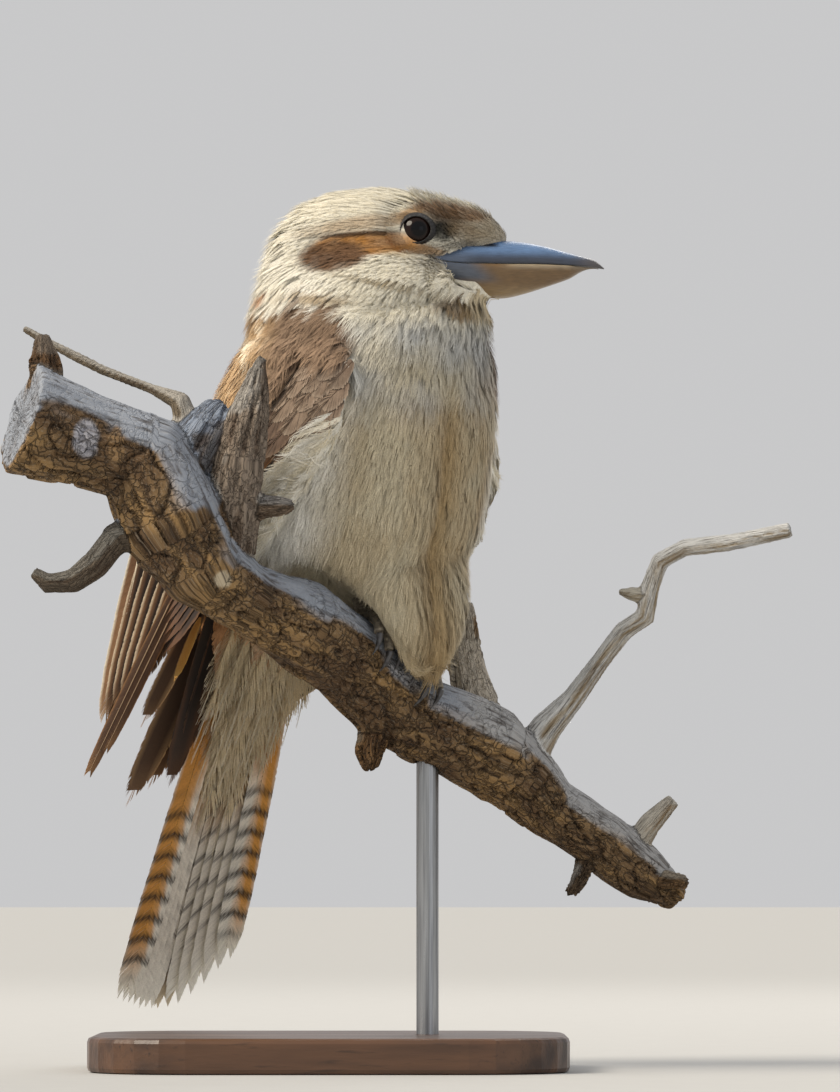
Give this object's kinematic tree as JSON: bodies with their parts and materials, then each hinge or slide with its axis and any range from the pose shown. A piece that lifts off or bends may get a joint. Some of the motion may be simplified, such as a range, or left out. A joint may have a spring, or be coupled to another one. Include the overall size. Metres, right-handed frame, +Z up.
{
  "type": "laughing kookaburra on a perch",
  "caption": "Laughing kookaburra, life size, sitting upright on a cut length of dead branch on a plain display stand, head turned to its left.",
  "frame": {"origin": "middle of the underside of the stand's base", "axes": "+Z up, +X to the side that the bill points to, +Y away from the side that the picture shows"},
  "size_m": [0.3117, 0.222, 0.351],
  "materials": {
    "plumage_pale": "soft cream body feathers",
    "plumage_brown": "brown wing feathers with pale edges",
    "plumage_barred": "rufous tail feathers with dark bars and white ends",
    "bill_upper_horn": "slate black horn, satin",
    "bill_lower_horn": "horn coloured, satin",
    "eye": "wet dark brown",
    "foot_skin": "scaly slate skin",
    "claw_horn": "dark horn",
    "branch_wood": "weathered dead wood and flaking bark",
    "stand_wood": "dark stained wood, satin",
    "stand_metal": "brushed"
  },
  "bodies": {
    "root": {"head": "plumage_pale", "neck": "plumage_pale", "torso": "plumage_pale", "leg_left": "plumage_pale", "leg_right": "plumage_pale", "wing_left": "plumage_brown", "wing_right": "plumage_brown", "tail": "plumage_barred", "bill_upper": "bill_upper_horn", "bill_lower": "bill_lower_horn", "eye_left": "eye", "eye_right": "eye", "foot_left": "foot_skin", "foot_right": "foot_skin", "claw_left_1": "claw_horn", "claw_left_2": "claw_horn", "claw_left_3": "claw_horn", "claw_left_4": "claw_horn", "claw_right_1": "claw_horn", "claw_right_2": "claw_horn", "claw_right_3": "claw_horn", "claw_right_4": "claw_horn", "perch": "branch_wood", "stand_base": "stand_wood", "stand_rod": "stand_metal"}
  },
  "joints": []
}
